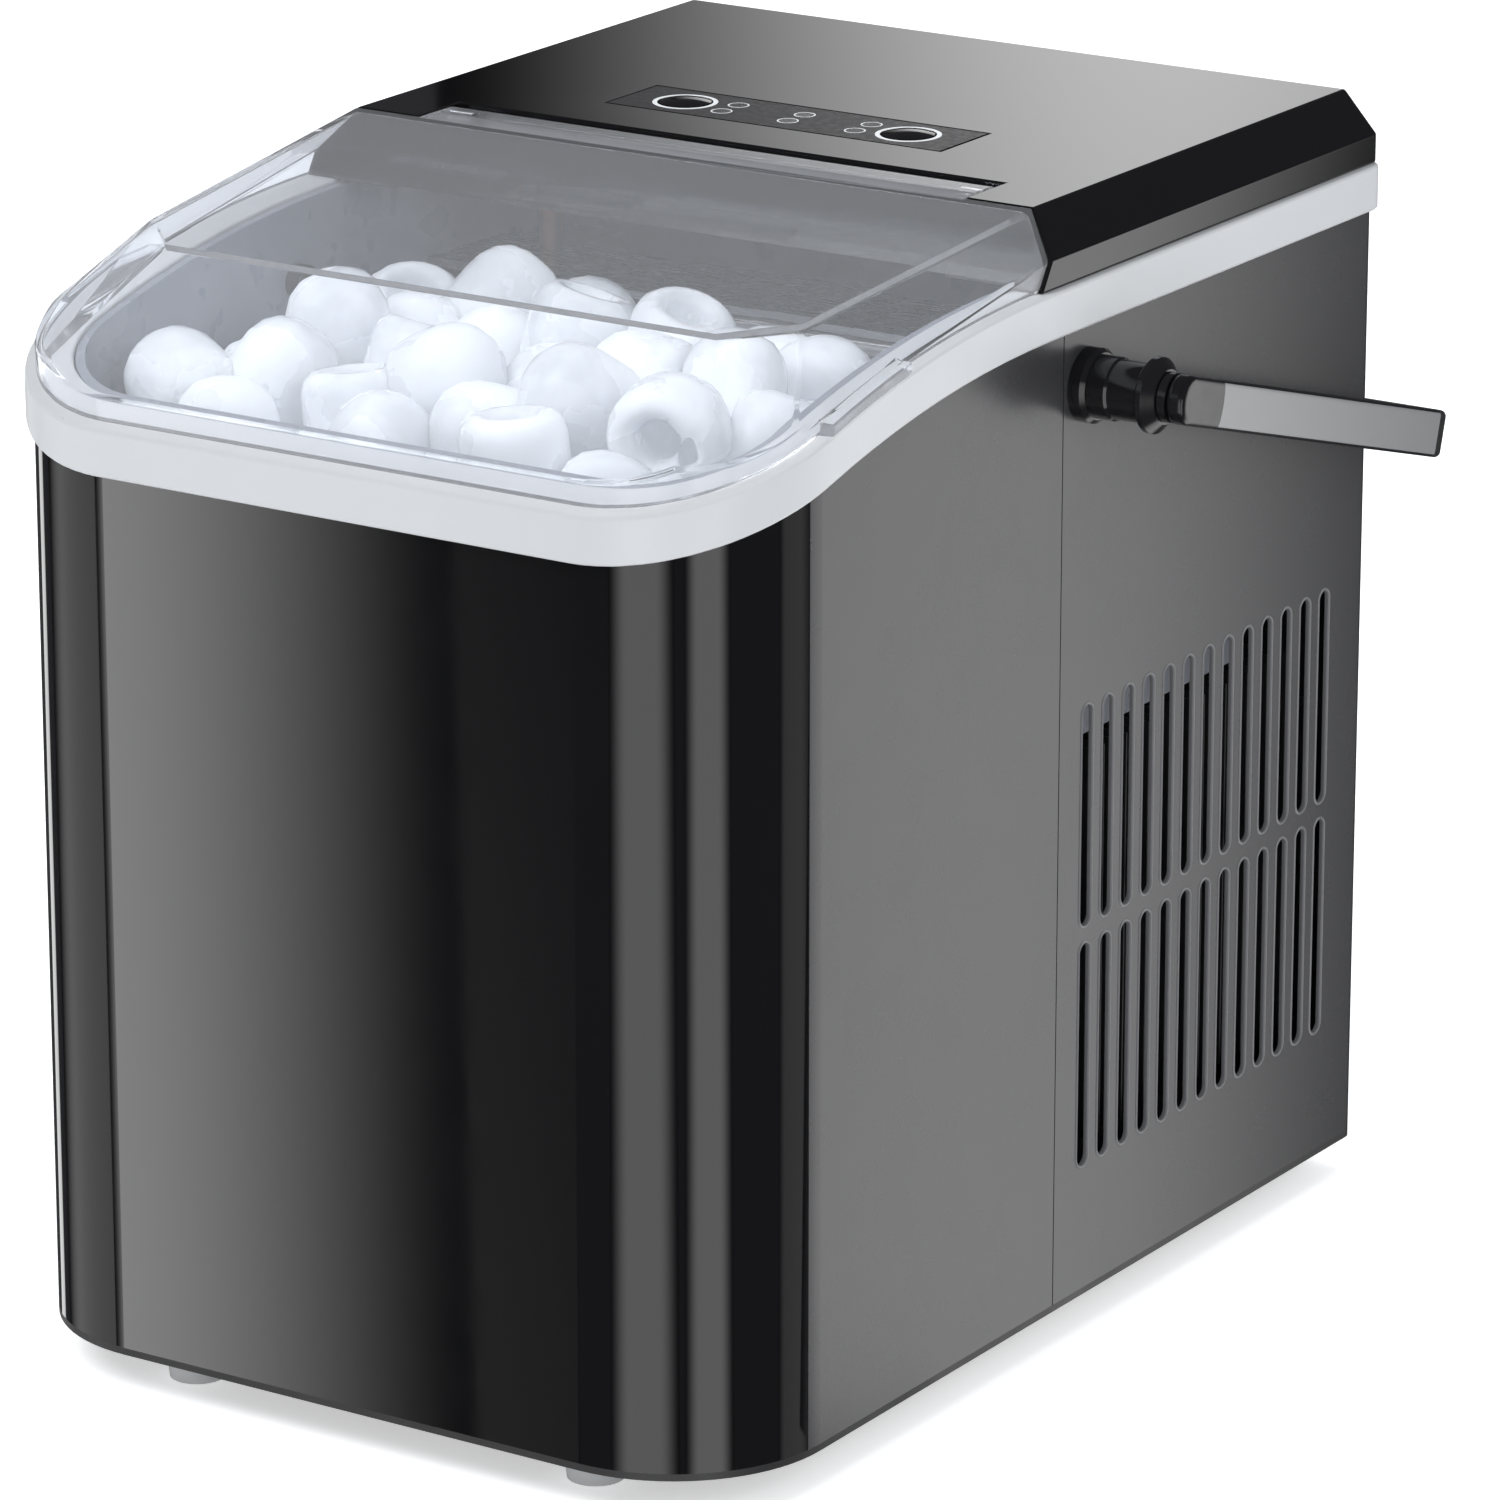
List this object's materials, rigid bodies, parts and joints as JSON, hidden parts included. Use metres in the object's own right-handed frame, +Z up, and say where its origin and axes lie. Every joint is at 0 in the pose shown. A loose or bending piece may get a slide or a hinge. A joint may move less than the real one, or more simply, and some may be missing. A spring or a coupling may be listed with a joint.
{
  "type": "ice maker",
  "caption": "Countertop ice maker: rounded casing with vented rear sides, clear hinged lid over the ice chamber, sloping trim band, push-button panel and folding carry handle.",
  "frame": {"origin": "on the floor, under the middle of the whole machine's bounding box, stowed handle included", "axes": "+Z up, front (lid end) towards -Y, +X to the right as seen from the front"},
  "size_m": [0.276, 0.3165, 0.2896],
  "materials": {
    "aluminium": "bare",
    "basket": "grey moulding",
    "black_paint": "black paint",
    "black_plastic": "moulded",
    "button": "gloss black",
    "clear_lid": "clear, blue-grey tint",
    "copper": "copper",
    "foam": "foam",
    "foot_rubber": "grey rubber",
    "gloss_black": "gloss black",
    "green_board": "printed board",
    "handle_grey": "gloss grey",
    "hose": "silicone",
    "label": "satin print",
    "lamp": "clear moulded",
    "liner": "blue-grey moulding",
    "nickel": "nickel plated",
    "rubber": "moulded",
    "side_grey": "satin dark grey",
    "steel": "satin",
    "trim_grey": "satin light grey",
    "white_plastic": "moulded",
    "zinc_sheet": "zinc"
  },
  "bodies": {
    "housing": {"front_wrap_panel": "gloss_black", "side_panel_left": "side_grey", "side_panel_right": "side_grey", "rear_shell": "side_grey", "base_pan": "zinc_sheet", "foot_front_left": "foot_rubber", "foot_front_right": "foot_rubber", "foot_rear_left": "foot_rubber", "foot_rear_right": "foot_rubber", "trim_ring": "trim_grey", "top_cover": "gloss_black", "control_label": "label", "control_board": "green_board", "control_switches": "black_plastic", "lamp_pipes": "lamp", "liner": "liner", "basket_rails": "liner", "insulation": "foam", "evaporator": "nickel", "evaporator_bracket": "steel", "tray_motor": "black_plastic", "tray_bush": "white_plastic", "ice_sensor_left": "black_plastic", "ice_sensor_right": "black_plastic", "compressor": "black_paint", "compressor_mounts": "rubber", "condenser_fins": "aluminium", "condenser_coil": "copper", "fan_shroud": "zinc_sheet", "fan_motor": "black_plastic", "suction_line": "copper", "discharge_line": "copper", "filter_drier": "copper", "power_board": "green_board", "water_pump": "black_plastic", "water_hose": "hose", "cord_gland": "black_plastic", "rear_screws": "steel", "handle_boss_left": "gloss_black", "handle_ring_left": "gloss_black", "handle_boss_right": "gloss_black", "handle_ring_right": "gloss_black"},
    "lid": {"lid": "clear_lid", "lid_pin_left": "steel", "lid_pin_right": "steel"},
    "handle": {"handle_arm_left": "handle_grey", "handle_arm_right": "handle_grey", "handle_grip": "handle_grey", "handle_hub_left": "gloss_black", "handle_hub_right": "gloss_black"},
    "power_button": {"power_button": "button"},
    "select_button": {"select_button": "button"},
    "water_tray": {"water_tray": "white_plastic", "tray_shaft": "steel", "ice_shovel": "white_plastic"},
    "ice_basket": {"ice_basket": "basket"},
    "fan": {"fan_rotor": "black_plastic"},
    "drain_plug": {"drain_plug": "rubber"}
  },
  "joints": [
    {"name": "lid_hinge", "type": "hinge", "parent": "housing", "child": "lid", "pos_m": [0, 0.00423, 0.2843], "axis": [-1, 0, 0], "range_deg": [0, 95]},
    {"name": "handle_swing", "type": "hinge", "parent": "housing", "child": "handle", "pos_m": [0, 0.00213, 0.2443], "axis": [1, 0, 0], "range_deg": [0, 98]},
    {"name": "power_press", "type": "slide", "parent": "housing", "child": "power_button", "axis": [0, 0, -1], "range_m": [0, 0.0012], "stiffness_N_per_m": 600, "springref_m": -0.0005},
    {"name": "select_press", "type": "slide", "parent": "housing", "child": "select_button", "axis": [0, 0, -1], "range_m": [0, 0.0012], "stiffness_N_per_m": 600, "springref_m": -0.0005},
    {"name": "tray_tilt", "type": "hinge", "parent": "housing", "child": "water_tray", "pos_m": [0, 0.06193, 0.224], "axis": [1, 0, 0], "range_deg": [0, 70]},
    {"name": "basket_lift", "type": "slide", "parent": "housing", "child": "ice_basket", "axis": [0, 0, 1], "range_m": [0, 0.008]},
    {"name": "fan_spin", "type": "hinge", "parent": "housing", "child": "fan", "pos_m": [0.07, 0.06793, 0.094], "axis": [1, 0, 0], "continuous": true},
    {"name": "drain_pull", "type": "slide", "parent": "housing", "child": "drain_plug", "axis": [-1, 0, 0], "range_m": [0, 0.02]}
  ]
}
